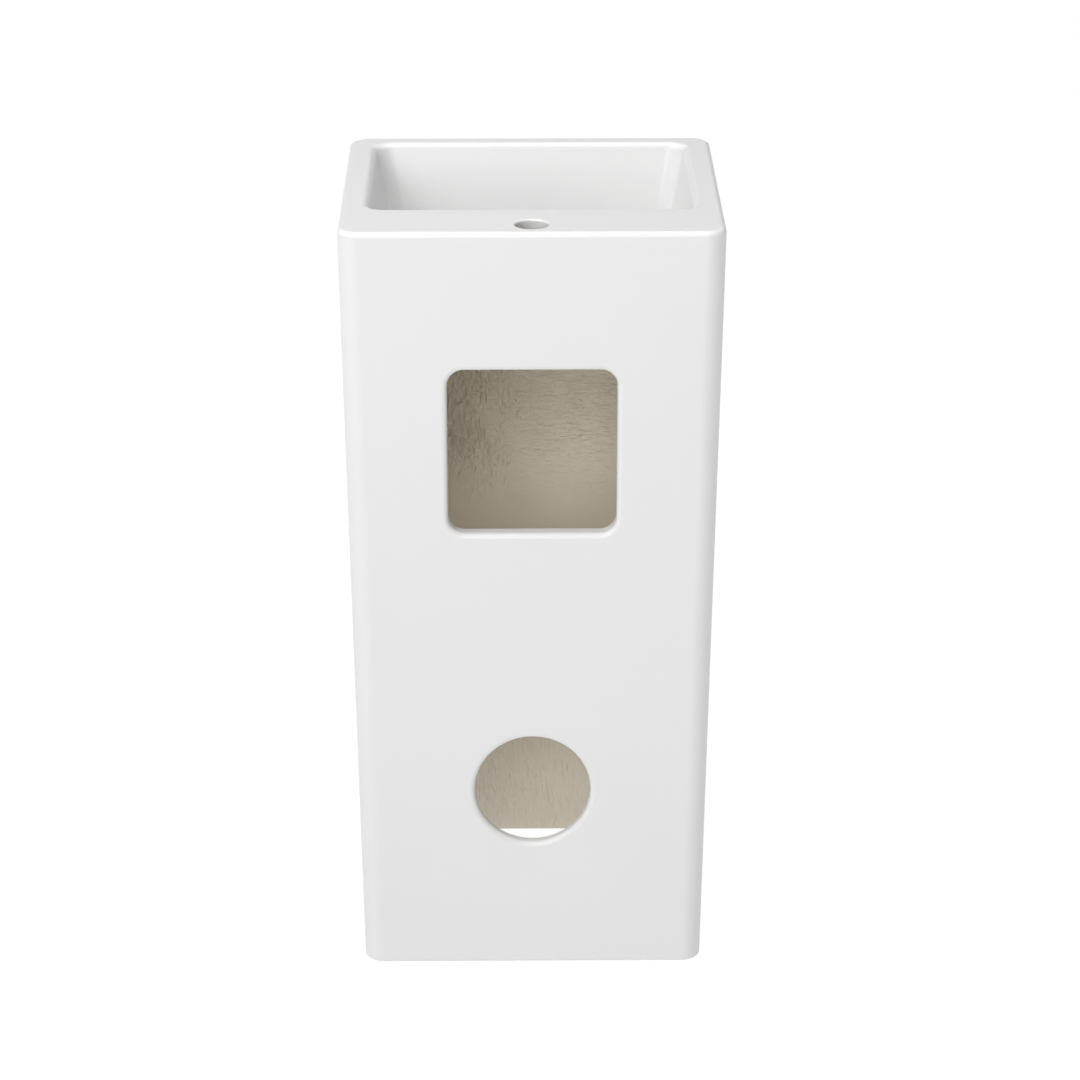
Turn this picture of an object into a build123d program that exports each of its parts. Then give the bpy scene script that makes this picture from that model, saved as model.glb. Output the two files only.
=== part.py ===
from build123d import *
import math
import os

# A one-piece ceramic pedestal sink with a push-button basin waste.
# Millimetres. The front faces -Y, the back +Y, and the foot stands on z = 0.

# Outside of the ceramic: a tall box that narrows towards the floor, with an upright back.
HEIGHT = 850.0
RIM_WIDTH = 406.0
RIM_DEPTH = 380.0
FOOT_WIDTH = 376.0
FOOT_DEPTH = 354.0
BACK_Y = RIM_DEPTH / 2
CORNER_RADIUS = 22.0
RIM_EDGE_RADIUS = 6.0
FOOT_EDGE_RADIUS = 3.0

# How far a cutting block runs past the face it opens, how far joined blocks run into each
# other, how near an edge must lie to count as there, and how steep counts as upright.
PAST = 1.0
OVERLAP = 0.01
NEAR = 0.01
UPRIGHT = 0.8

# Thickness of the casting.
SIDE_WALL = 14.0
FRONT_WALL = 16.0
BACK_WALL = 12.6
DECK_THICKNESS = 15.0
BOWL_WALL = 13.0
BOWL_FLOOR = 14.0
CAVITY_CORNER_RADIUS = 12.0
CAVITY_TOP_RADIUS = 8.0
JOINT_HEIGHT = HEIGHT - 40.0

# Bowl, measured where its walls would meet the deck with no rounding.
BOWL_HALF_WIDTH = 173.5
BOWL_BACK_SETBACK = 91.0
BOWL_FRONT_SETBACK = 353.0
BOWL_WALL_DRAFT = 0.186
BOWL_DEPTH = 112.0
BOWL_FALL = 6.0
BOWL_CORNER_RADIUS = 18.0
BOWL_FLOOR_RADIUS = 17.0
BOWL_SHELL_RADIUS = 25.0
BOWL_RIM_RADIUS = 8.0

# Openings in the back and the deck.
WINDOW_WIDTH = 180.0
WINDOW_HEIGHT = 184.0
WINDOW_CENTRE_Z = HEIGHT - 243.0
WINDOW_CORNER_RADIUS = 18.0
WINDOW_LIP = 6.3
WINDOW_LIP_WIDTH = 22.0
PORT_RADIUS = 63.5
PORT_CENTRE_Z = HEIGHT - 637.8
OPENING_EDGE_RADIUS = 5.8
TAP_HOLE_RADIUS = 17.5
TAP_HOLE_SETBACK = 32.0
TAP_EDGE_RADIUS = 2.5

# Drain seat in the bowl floor, and the height of the waste's parts up its axis.
DRAIN_Y = BACK_Y - (BOWL_BACK_SETBACK + BOWL_FRONT_SETBACK) / 2
FLOOR_Z = HEIGHT - BOWL_DEPTH
DRAIN_RIM_Z = FLOOR_Z - BOWL_FALL
SEAT_RADIUS = 34.5
SEAT_DEPTH = 3.0
SEAT_Z = DRAIN_RIM_Z - SEAT_DEPTH
DRAIN_RADIUS = 23.0
PAD_RADIUS = 44.0
PAD_Z = SEAT_Z - BOWL_FLOOR

# Waste body: a G 1 1/4 threaded tube under a dished flange.
THREAD_RADIUS = 20.955
THREAD_CORE_RADIUS = 19.477
GASKET_THICKNESS = 2.0
GASKET_RADIUS = 31.0
FLANGE_RADIUS = 32.0
FLANGE_THICKNESS = 3.0
FLANGE_Z = SEAT_Z + GASKET_THICKNESS
FLANGE_TOP = FLANGE_Z + FLANGE_THICKNESS
TUBE_LENGTH = 78.0
TUBE_CHAMFER = 1.5
TUBE_BORE = 18.0
DISH_RADIUS = 26.0
DISH_DEPTH = 8.0
FLANGE_CHAMFER = 1.2
BRIDGE_TOP = FLANGE_Z - 35.0
BRIDGE_HEIGHT = 6.0
BRIDGE_WIDTH = 5.0
BRIDGE_ARMS = 3
BOSS_RADIUS = 9.5
STUD_RADIUS = 4.0
STUD_LENGTH = 5.0

# Washers and back nut under the bowl.
NUT_CLEARANCE = 0.045
WASHER_CLEARANCE = 0.35
TAPER_HEIGHT = 6.0
TAPER_RADIUS = 29.0
TAPER_CHAMFER = 1.0
SPIGOT_HEIGHT = 5.0
SPIGOT_CLEARANCE = 0.2
SPIGOT_TAPER = 0.5
SLIP_RADIUS = 28.5
SLIP_THICKNESS = 2.0
NUT_FLANGE_RADIUS = 28.0
NUT_FLANGE_HEIGHT = 3.0
NUT_ACROSS_FLATS = 50.0
NUT_HEIGHT = 10.0
NUT_LOW = PAD_Z - TAPER_HEIGHT - SLIP_THICKNESS - NUT_HEIGHT
GROOVE_GAP = 1.0
GROOVE_WIDTH = 1.6
GROOVE_HIGH = NUT_LOW - GROOVE_GAP
GROOVE_LOW = GROOVE_HIGH - GROOVE_WIDTH

# Click cartridge: the sleeve on the bridge, its collar, plunger, latch rotor and spring.
SLEEVE_RADIUS = 8.6
SLEEVE_BORE = 6.9
SLEEVE_FLOOR = 2.5
SLEEVE_HEIGHT = 28.5
COLLAR_HEIGHT = 3.0
ROD_RADIUS = 4.0
ROD_CLEARANCE = 0.06
PISTON_RADIUS = 6.5
PISTON_HEIGHT = 3.5
BODY_GAP = 0.3
ROTOR_RADIUS = 6.4
ROTOR_HEIGHT = 4.0
ROTOR_TEETH = 6
ROTOR_TOOTH_DEPTH = 1.2
ROTOR_SLOT_WIDTH = 1.6
PRESS_TRAVEL = 8.0
SPRING_WIRE = 0.9
SPRING_RADIUS = 5.0
SPRING_TURNS = 5.0
SPRING_END_GAP = 0.1

# Plug: a domed cap with a seal under it, shown raised, which is the open state.
CAP_RADIUS = 31.0
CAP_RIM_THICKNESS = 2.4
CAP_DOME = 2.6
CAP_BOSS_RADIUS = 6.5
CAP_BOSS_LENGTH = 6.5
CAP_THREAD_LENGTH = 5.5
CAP_UNDERSIDE = FLANGE_TOP + BODY_GAP + PRESS_TRAVEL
SEAL_TOP_RADIUS = 25.4
SEAL_BOTTOM_RADIUS = 23.2
SEAL_INNER_RADIUS = 18.0
SEAL_THICKNESS = 2.4

SLEEVE_Z = BRIDGE_TOP
SLEEVE_TOP = SLEEVE_Z + SLEEVE_HEIGHT
COLLAR_TOP = SLEEVE_TOP + COLLAR_HEIGHT
PISTON_TOP = SLEEVE_TOP - BODY_GAP
ROTOR_TOP = PISTON_TOP - PISTON_HEIGHT - BODY_GAP
SPRING_LOW = SLEEVE_Z + SLEEVE_FLOOR
SPRING_HIGH = ROTOR_TOP - ROTOR_HEIGHT


def hexahedron(low, high):
    """A closed six-faced block between two level rectangles, each (x0, x1, y0, y1, z)."""
    rings = []
    for x0, x1, y0, y1, z in (low, high):
        rings.append([(x0, y0, z), (x1, y0, z), (x1, y1, z), (x0, y1, z)])
    bottom, top = rings
    faces = [Face(Wire.make_polygon(bottom)), Face(Wire.make_polygon(top))]
    for i in range(4):
        j = (i + 1) % 4
        faces.append(Face(Wire.make_polygon([bottom[i], bottom[j], top[j], top[i]])))
    return Part(Solid(Shell(faces)).wrapped)


def upright_edges(block):
    """Edges that run mainly up and down."""
    return [e for e in block.edges() if abs(e.tangent_at(0.5).Z) > UPRIGHT]


def edges_at(block, z):
    """Edges that lie level at height z."""
    found = []
    for e in block.edges():
        box = e.bounding_box()
        if abs(box.min.Z - z) < NEAR and abs(box.max.Z - z) < NEAR:
            found.append(e)
    return found


def ring_edges(block, z, radius):
    """Full circles of the given radius at height z."""
    circles = [e for e in edges_at(block, z) if e.geom_type == GeomType.CIRCLE]
    return [e for e in circles if abs(e.radius - radius) < NEAR]


def cylinder(radius, low, high, y=DRAIN_Y, x=0.0):
    """A solid upright cylinder from one height to another."""
    return Pos(x, y, low) * Cylinder(radius, high - low, align=(Align.CENTER, Align.CENTER, Align.MIN))


def turned(points):
    """A solid of revolution about the drain axis from (radius, height) points."""
    outline = Polyline(*[(r, 0, z) for r, z in points], close=True)
    return Pos(0, DRAIN_Y, 0) * revolve(make_face(outline), Axis.Z)


def outer_half_width(z):
    return (FOOT_WIDTH + (RIM_WIDTH - FOOT_WIDTH) * z / HEIGHT) / 2


def outer_front(z):
    return BACK_Y - (FOOT_DEPTH + (RIM_DEPTH - FOOT_DEPTH) * z / HEIGHT)


def level_outline(z, side=0.0, front=0.0, back=0.0):
    """Outside rectangle of the sink at height z, drawn in by the given walls."""
    half = outer_half_width(z) - side
    return (-half, half, outer_front(z) + front, BACK_Y - back, z)


def outer_block():
    """The whole outside as one rounded tapered block."""
    block = hexahedron(level_outline(0), level_outline(HEIGHT))
    block = fillet(upright_edges(block), CORNER_RADIUS)
    block = fillet(edges_at(block, HEIGHT), RIM_EDGE_RADIUS)
    return fillet(edges_at(block, 0), FOOT_EDGE_RADIUS)


def cavity_block():
    """The space inside the walls and under the deck, run out through the foot."""
    walls = {"side": SIDE_WALL, "front": FRONT_WALL, "back": BACK_WALL}
    roof = HEIGHT - DECK_THICKNESS
    block = hexahedron(level_outline(-PAST, **walls), level_outline(roof, **walls))
    block = fillet(upright_edges(block), CAVITY_CORNER_RADIUS)
    return fillet(edges_at(block, roof), CAVITY_TOP_RADIUS)


def bowl_outline(z, grow=0.0):
    """Rectangle of the bowl at height z, enlarged by grow on every side."""
    draft = BOWL_WALL_DRAFT * (HEIGHT - z)
    half = BOWL_HALF_WIDTH - draft + grow
    y0 = BACK_Y - BOWL_FRONT_SETBACK + draft - grow
    y1 = BACK_Y - BOWL_BACK_SETBACK - draft + grow
    return (-half, half, y0, y1, z)


def bowl_floor_fall():
    """Shallow four-sided fall from the bowl floor to the drain."""
    x0, x1, y0, y1, z = bowl_outline(FLOOR_Z, -BOWL_SHELL_RADIUS)
    half = SEAT_RADIUS
    low = (-half, half, DRAIN_Y - half, DRAIN_Y + half, DRAIN_RIM_Z)
    return hexahedron(low, (x0, x1, y0, y1, z + OVERLAP))


def bowl_space():
    """The water space: drafted walls, rounded corners and a falling floor."""
    block = hexahedron(bowl_outline(FLOOR_Z), bowl_outline(HEIGHT))
    block = fillet(upright_edges(block), BOWL_CORNER_RADIUS)
    block = fillet(edges_at(block, FLOOR_Z), BOWL_FLOOR_RADIUS)
    return block + bowl_floor_fall()


def bowl_shell():
    """The thick skin of the bowl, before the water space is taken out of it."""
    low = FLOOR_Z - BOWL_FLOOR
    block = hexahedron(bowl_outline(low, BOWL_WALL), bowl_outline(HEIGHT - RIM_EDGE_RADIUS, BOWL_WALL))
    block = fillet(upright_edges(block), BOWL_CORNER_RADIUS + BOWL_WALL)
    block = fillet(edges_at(block, low), BOWL_SHELL_RADIUS)
    return block + cylinder(PAD_RADIUS, PAD_Z, FLOOR_Z)


def basin():
    """Deck, bowl and the top band of the walls, down to the joint with the column."""
    band = Pos(0, 0, JOINT_HEIGHT) * Box(
        2 * RIM_WIDTH, 2 * RIM_DEPTH, HEIGHT, align=(Align.CENTER, Align.CENTER, Align.MIN)
    )
    shell = (outer_block() & band) - cavity_block()
    casting = shell + bowl_shell() - bowl_space()
    rim = [e for e in edges_at(casting, HEIGHT) if inside_deck(e)]
    casting = fillet(rim, BOWL_RIM_RADIUS)
    casting -= cylinder(SEAT_RADIUS, SEAT_Z, FLOOR_Z)
    casting -= cylinder(DRAIN_RADIUS, PAD_Z - PAST, FLOOR_Z)
    tap_y = BACK_Y - TAP_HOLE_SETBACK
    casting -= cylinder(TAP_HOLE_RADIUS, JOINT_HEIGHT, HEIGHT + PAST, tap_y)
    return fillet(ring_edges(casting, HEIGHT, TAP_HOLE_RADIUS), TAP_EDGE_RADIUS)


def inside_deck(edge):
    """Whether an edge at deck height belongs to the bowl's mouth."""
    box = edge.bounding_box()
    inset = 2 * RIM_EDGE_RADIUS
    half_width = RIM_WIDTH / 2 - inset
    half_depth = RIM_DEPTH / 2 - inset
    across = -half_width < box.min.X and box.max.X < half_width
    return across and -half_depth < box.min.Y and box.max.Y < half_depth


def window_prism(grow, y0, y1):
    """The rounded square through the back, from y0 to y1, enlarged by grow."""
    width = WINDOW_WIDTH + 2 * grow
    height = WINDOW_HEIGHT + 2 * grow
    outline = RectangleRounded(width, height, WINDOW_CORNER_RADIUS + grow)
    prism = extrude(Rot(90, 0, 0) * outline, amount=y1 - y0)
    return Pos(0, y1, WINDOW_CENTRE_Z) * prism


def opening_mouths(casting):
    """Edges of both openings in the outside face of the back."""
    found = []
    for e in casting.edges():
        box = e.bounding_box()
        across = box.min.Y > BACK_Y - NEAR and abs(e.center().X) < WINDOW_WIDTH / 2 + NEAR
        if across and box.min.Z > PORT_CENTRE_Z - PORT_RADIUS - NEAR and box.max.Z < JOINT_HEIGHT - NEAR:
            found.append(e)
    return found


def pedestal_column():
    """The four-walled column, open at the foot and at the joint, with both rear openings."""
    lower = Box(2 * RIM_WIDTH, 2 * RIM_DEPTH, JOINT_HEIGHT, align=(Align.CENTER, Align.CENTER, Align.MIN))
    inner_face = BACK_Y - BACK_WALL
    lip = window_prism(WINDOW_LIP_WIDTH, inner_face - WINDOW_LIP, inner_face + PAST)
    casting = (outer_block() & lower) - cavity_block() + lip
    casting -= window_prism(0, inner_face - WINDOW_LIP - PAST, BACK_Y + PAST)
    port = Rot(90, 0, 0) * Cylinder(PORT_RADIUS, 2 * (BACK_WALL + PAST))
    casting -= Pos(0, BACK_Y, PORT_CENTRE_Z) * port
    return fillet(opening_mouths(casting), OPENING_EDGE_RADIUS)


def waste_body():
    """Dished flange, threaded tube with a cut-off groove, and the bridge that carries the cartridge."""
    dish_low = FLANGE_TOP - DISH_DEPTH
    low = FLANGE_Z - TUBE_LENGTH
    body = turned([
        (TUBE_BORE, low), (THREAD_CORE_RADIUS, low), (THREAD_RADIUS, low + TUBE_CHAMFER),
        (THREAD_RADIUS, GROOVE_LOW), (THREAD_CORE_RADIUS, GROOVE_LOW),
        (THREAD_CORE_RADIUS, GROOVE_HIGH), (THREAD_RADIUS, GROOVE_HIGH),
        (THREAD_RADIUS, FLANGE_Z), (FLANGE_RADIUS, FLANGE_Z),
        (FLANGE_RADIUS, FLANGE_TOP - FLANGE_CHAMFER), (FLANGE_RADIUS - FLANGE_CHAMFER, FLANGE_TOP),
        (DISH_RADIUS, FLANGE_TOP), (TUBE_BORE, dish_low),
    ])
    boss = cylinder(BOSS_RADIUS, BRIDGE_TOP - BRIDGE_HEIGHT, BRIDGE_TOP)
    reach = (TUBE_BORE + THREAD_CORE_RADIUS) / 2
    for i in range(BRIDGE_ARMS):
        arm = Box(reach, BRIDGE_WIDTH, BRIDGE_HEIGHT, align=(Align.MIN, Align.CENTER, Align.MAX))
        boss += Pos(0, DRAIN_Y, BRIDGE_TOP) * Rot(0, 0, 90 + 360 * i / BRIDGE_ARMS) * arm
    boss -= cylinder(STUD_RADIUS, BRIDGE_TOP - BRIDGE_HEIGHT - PAST, BRIDGE_TOP + PAST)
    return body + boss


def flange_gasket():
    """Flat ring between the flange and the bowl."""
    ring = cylinder(GASKET_RADIUS, SEAT_Z, FLANGE_Z)
    return ring - cylinder(THREAD_RADIUS + WASHER_CLEARANCE, SEAT_Z - PAST, FLANGE_Z + PAST)


def taper_washer():
    """Rubber washer whose spigot centres the tube in the drain hole."""
    inner = THREAD_RADIUS + WASHER_CLEARANCE
    low = PAD_Z - TAPER_HEIGHT
    high = PAD_Z + SPIGOT_HEIGHT
    spigot = DRAIN_RADIUS - SPIGOT_CLEARANCE
    return turned([
        (inner, low), (TAPER_RADIUS, low), (TAPER_RADIUS - TAPER_CHAMFER, PAD_Z),
        (spigot, PAD_Z), (spigot - SPIGOT_TAPER, high), (inner, high),
    ])


def slip_washer():
    """Hard flat washer that lets the back nut turn without dragging the rubber."""
    high = PAD_Z - TAPER_HEIGHT
    low = high - SLIP_THICKNESS
    ring = cylinder(SLIP_RADIUS, low, high)
    return ring - cylinder(THREAD_RADIUS + WASHER_CLEARANCE, low - PAST, high + PAST)


def backnut():
    """Flanged eight-sided nut on the tube's thread."""
    high = NUT_LOW + NUT_HEIGHT
    low = NUT_LOW
    corner_radius = NUT_ACROSS_FLATS / 2 / math.cos(math.pi / 8)
    prism = Pos(0, DRAIN_Y, low) * extrude(RegularPolygon(corner_radius, 8), NUT_HEIGHT)
    nut = prism + cylinder(NUT_FLANGE_RADIUS, high - NUT_FLANGE_HEIGHT, high)
    return nut - cylinder(THREAD_RADIUS + NUT_CLEARANCE, low - PAST, high + PAST)


def cartridge_sleeve():
    """Cup with a stud under it, screwed into the bridge; it holds the click mechanism."""
    stud_low = SLEEVE_Z - STUD_LENGTH
    stud = STUD_RADIUS - NUT_CLEARANCE
    return turned([
        (0, stud_low), (stud, stud_low), (stud, SLEEVE_Z), (SLEEVE_RADIUS, SLEEVE_Z),
        (SLEEVE_RADIUS, SLEEVE_TOP), (SLEEVE_BORE, SLEEVE_TOP), (SLEEVE_BORE, SPRING_LOW), (0, SPRING_LOW),
    ])


def cartridge_collar():
    """Ring that closes the sleeve and guides the plunger's rod."""
    ring = cylinder(SLEEVE_RADIUS, SLEEVE_TOP, COLLAR_TOP)
    return ring - cylinder(ROD_RADIUS + ROD_CLEARANCE, SLEEVE_TOP - PAST, COLLAR_TOP + PAST)


def plunger():
    """Rod with a piston on its foot; its top screws into the cap."""
    rod_top = CAP_UNDERSIDE - CAP_BOSS_LENGTH + CAP_THREAD_LENGTH
    piston = cylinder(PISTON_RADIUS, PISTON_TOP - PISTON_HEIGHT, PISTON_TOP)
    return piston + cylinder(ROD_RADIUS, PISTON_TOP - PISTON_HEIGHT / 2, rod_top)


def latch_rotor():
    """Toothed ring under the piston that turns a step at each press."""
    low = ROTOR_TOP - ROTOR_HEIGHT
    ring = cylinder(ROTOR_RADIUS, low, ROTOR_TOP)
    ring -= cylinder(ROTOR_RADIUS / 2, low - PAST, ROTOR_TOP + PAST)
    slot = Box(ROTOR_RADIUS * 2, ROTOR_SLOT_WIDTH, ROTOR_TOOTH_DEPTH * 2)
    for i in range(ROTOR_TEETH // 2):
        ring -= Pos(0, DRAIN_Y, ROTOR_TOP) * Rot(0, 0, 360 * i / ROTOR_TEETH) * slot
    return ring


def click_spring():
    """Compression spring between the sleeve's floor and the rotor."""
    inset = SPRING_WIRE / 2 + SPRING_END_GAP
    length = SPRING_HIGH - SPRING_LOW - 2 * inset
    path = Helix(length / SPRING_TURNS, length, SPRING_RADIUS)
    coil = sweep(Plane(path @ 0, z_dir=path % 0) * Circle(SPRING_WIRE / 2), path=path, is_frenet=True)
    return Pos(0, DRAIN_Y, SPRING_LOW + inset) * coil


def plug_cap():
    """Domed disc with a threaded boss under its middle."""
    top = CAP_UNDERSIDE + CAP_RIM_THICKNESS
    sphere = (CAP_RADIUS**2 + CAP_DOME**2) / (2 * CAP_DOME)
    dome = Pos(0, DRAIN_Y, top + CAP_DOME - sphere) * Sphere(sphere)
    cap = cylinder(CAP_RADIUS, CAP_UNDERSIDE, top + CAP_DOME + PAST) & dome
    boss_low = CAP_UNDERSIDE - CAP_BOSS_LENGTH
    cap += cylinder(CAP_BOSS_RADIUS, boss_low, CAP_UNDERSIDE + CAP_RIM_THICKNESS / 2)
    hole_top = boss_low + CAP_THREAD_LENGTH
    return cap - cylinder(ROD_RADIUS, boss_low - PAST, hole_top)


def plug_seal():
    """Tapered rubber ring that shuts on the dish of the flange."""
    low = CAP_UNDERSIDE - SEAL_THICKNESS
    return turned([
        (SEAL_INNER_RADIUS, low), (SEAL_BOTTOM_RADIUS, low),
        (SEAL_TOP_RADIUS, CAP_UNDERSIDE), (SEAL_INNER_RADIUS, CAP_UNDERSIDE),
    ])


PARTS = [
    basin, pedestal_column, waste_body, flange_gasket, taper_washer, slip_washer, backnut,
    cartridge_sleeve, cartridge_collar, plunger, latch_rotor, click_spring, plug_cap, plug_seal,
]

os.makedirs("parts", exist_ok=True)
for make in PARTS:
    export_step(make(), f"parts/{make.__name__}.step")
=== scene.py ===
import contextlib
import math

import bmesh
import bpy
from bpy.props import FloatProperty, FloatVectorProperty, PointerProperty
from mathutils import Matrix, Vector


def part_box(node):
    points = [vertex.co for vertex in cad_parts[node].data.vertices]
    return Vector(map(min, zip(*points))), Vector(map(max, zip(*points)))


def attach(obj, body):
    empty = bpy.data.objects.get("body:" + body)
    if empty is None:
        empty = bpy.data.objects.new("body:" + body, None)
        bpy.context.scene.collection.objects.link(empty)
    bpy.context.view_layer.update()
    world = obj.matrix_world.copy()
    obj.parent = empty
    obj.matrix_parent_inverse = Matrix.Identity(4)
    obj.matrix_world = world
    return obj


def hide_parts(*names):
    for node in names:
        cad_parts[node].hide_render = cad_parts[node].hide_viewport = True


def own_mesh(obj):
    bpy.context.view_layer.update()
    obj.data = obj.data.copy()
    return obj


bl_info = {
    "name": "Pedestal sink",
    "version": (1, 0, 0),
    "blender": (4, 5, 0),
    "location": "3D View > Sidebar > Sink",
    "description": "Builds a glazed ceramic pedestal sink with a push-button waste around its frame",
    "category": "Add Mesh",
}

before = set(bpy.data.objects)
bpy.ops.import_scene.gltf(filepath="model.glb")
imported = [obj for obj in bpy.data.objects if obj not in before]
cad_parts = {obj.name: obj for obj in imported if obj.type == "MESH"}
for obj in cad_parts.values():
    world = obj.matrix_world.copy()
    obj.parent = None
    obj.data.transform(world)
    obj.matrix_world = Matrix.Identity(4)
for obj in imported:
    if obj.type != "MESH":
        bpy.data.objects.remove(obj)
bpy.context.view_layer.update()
COLUMN_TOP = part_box("pedestal_column")[1]
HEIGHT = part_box("basin")[1].z
BACK_Y = COLUMN_TOP.y
JOINT_Z = COLUMN_TOP.z


# ---------------------------------------------------------------- settings

def length(name, description, default):
    return FloatProperty(name=name, description=description, default=default, unit="LENGTH", precision=4)


def colour(name, description, default):
    return FloatVectorProperty(
        name=name, description=description, default=default, subtype="COLOR", size=3, min=0, max=1
    )


class SinkSizes(bpy.types.PropertyGroup):
    """Sizes of the two ceramic castings, where flat faces would meet with no rounding."""

    rim_width: length("Rim width", "Across the deck", 0.406)
    rim_depth: length("Rim depth", "Deck from front to back", 0.380)
    foot_width: length("Foot width", "Across the foot", 0.376)
    foot_depth: length("Foot depth", "Foot from front to back", 0.354)
    corner_radius: length("Corner radius", "Rounding of the four upright corners", 0.022)
    rim_edge: length("Rim edge", "Rounding around the deck's outside edge", 0.006)
    foot_edge: length("Foot edge", "Rounding around the foot's outside edge", 0.003)
    side_wall: length("Side wall", "Thickness of the side walls", 0.014)
    front_wall: length("Front wall", "Thickness of the front wall", 0.016)
    back_wall: length("Back wall", "Thickness of the back wall", 0.0126)
    deck: length("Deck", "Thickness of the deck", 0.015)
    bowl_half_width: length("Bowl half width", "From the middle to a side of the bowl", 0.1735)
    bowl_back: length("Bowl back", "From the back of the sink to the bowl", 0.091)
    bowl_front: length("Bowl front", "From the back of the sink to the bowl's far side", 0.353)
    bowl_depth: length("Bowl depth", "From the deck to the bowl's floor", 0.112)
    bowl_fall: length("Bowl fall", "Fall of the floor to the drain", 0.006)
    bowl_corner: length("Bowl corner", "Rounding of the bowl's upright corners", 0.018)
    bowl_floor: length("Bowl floor edge", "Rounding between wall and floor", 0.017)
    bowl_rim: length("Bowl rim", "Rounding between deck and bowl", 0.008)
    bowl_wall: length("Bowl wall", "Thickness of the bowl's walls", 0.013)
    bowl_base: length("Bowl base", "Thickness of the bowl's floor", 0.014)
    window_width: length("Window width", "Square opening, across", 0.180)
    window_height: length("Window height", "Square opening, up and down", 0.184)
    window_drop: length("Window drop", "From the deck to the window's middle", 0.243)
    window_corner: length("Window corner", "Rounding of the window's corners", 0.018)
    port_radius: length("Port radius", "Round opening low in the back", 0.0635)
    port_drop: length("Port drop", "From the deck to the port's middle", 0.6378)
    opening_edge: length("Opening edge", "Rounding of both openings' outside edges", 0.0058)
    tap_radius: length("Tap hole radius", "Hole for the tap's shank", 0.0175)
    tap_setback: length("Tap setback", "From the back of the sink to the tap hole", 0.032)


class SinkFinishes(bpy.types.PropertyGroup):
    """Colours of the sink's finishes, in linear light."""

    glaze: colour("Glaze", "White gloss glaze", (0.71, 0.71, 0.708))
    bisque: colour("Bisque", "Bare fired body inside the castings", (0.82, 0.767, 0.66))
    brass: colour("Brass", "Turned brass of the back nut", (0.72, 0.50, 0.22))
    plate: colour("Plate", "Bright plate on the waste", (0.78, 0.79, 0.80))
    steel: colour("Steel", "Drawn stainless of the plunger and spring", (0.56, 0.56, 0.57))
    rubber: colour("Rubber", "Seals and washers", (0.030, 0.030, 0.032))
    nylon: colour("Nylon", "Slip washer and latch rotor", (0.74, 0.73, 0.69))


# How parts are found: nearly equal places, directions along an axis, and folds in radians.
LEVEL = 1e-5
NEAR = 1e-4
ALONG = 0.9
FOLD = 0.5
MERGE = 1e-6

# Steps of the roundings whose radius is a setting, sides of round pieces, and how far tools run past.
CORNER_STEPS = 14
EDGE_STEPS = 8
FOOT_STEPS = 4
WINDOW_STEPS = 12
BOWL_STEPS = 10
ROUND_SIDES = 96
BEYOND = 0.02
PAST = 0.001

# Ceramic: roundings are a radius and its steps.
CAVITY_CORNER = (0.012, 6)
CAVITY_TOP = (0.008, 5)
SHELL_CORNER = (0.031, 10)
SHELL_FLOOR = (0.025, 8)
INSIDE_MOUTH = (0.0012, 3)
LIP_MOUTH = (0.002, 3)
TAP_MOUTH = (0.0025, 6)
BOWL_DRAFT = 0.186
FALL_RINGS = 12
FALL_EYE = 0.006
RIM_INSET = 0.004
WINDOW_LIP = 0.0063
WINDOW_LIP_WIDTH = 0.022
LIP_ROOT = 0.004
SEAT_RADIUS = 0.0345
SEAT_DEPTH = 0.003
DRAIN_RADIUS = 0.023
PAD_RADIUS = 0.044
PAD_RISE = 0.004

# Waste, where the boxes of its nodes don't say. The groove and the bridge are given by their levels,
# the thread's foot by its share of the pitch, and its top by its share of the foot.
DRAIN_Y = (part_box("waste_body")[0].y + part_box("waste_body")[1].y) / 2
TURNED_FOLD = math.radians(28)
TUBE_BORE = 0.018
THREAD_CORE = 0.01948
THREAD_CREST = 0.020955
THREAD_PITCH = 0.002309
THREAD_BITE = 0.0001
THREAD_FOOT = 0.94
THREAD_TOP = 0.18
THREAD_START = 0.001
THREAD_ENDS = 0.004
THREAD_STEPS = 64
OUTLINE_SIDES = 64
FLANGE_CHAMFER = 0.0012
DISH_RADIUS = 0.026
DISH_DEPTH = 0.008
GROOVE = (0.6944, 0.696)
BRIDGE = (0.690, 0.696)
BRIDGE_BOSS = 0.0095
BRIDGE_ARM = 0.005
ARM_SET = 0.0002
ARM_EDGE = (0.0008, 3)
STUD_RADIUS = 0.004

# Washers: the gasket's groove starts in from its edge, and is one fifth of its height deep.
WASHER_BORE = 0.0213
GASKET_GROOVE = 0.006
GASKET_GROOVE_DEPTH = 0.2
GASKET_GROOVE_WIDTH = 0.0025
GASKET_GROOVE_SLOPE = 0.0005
TAPER_FOOT = 0.0015
TAPER_LEAN = 0.001
SPIGOT = 0.005
SPIGOT_GAP = 0.0002
SPIGOT_TAPER = 0.0005

NUT_BORE = 0.021
NUT_FLATS = 0.050
NUT_FLANGE = 0.003
NUT_SIDES = 8
NUT_CORNER = (0.0008, 3)
NUT_MOUTH = (0.0006, 2)
NUT_BREAK = 0.0006
NUT_CHAMFER = 0.002
NUT_FACE = 0.0001

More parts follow.
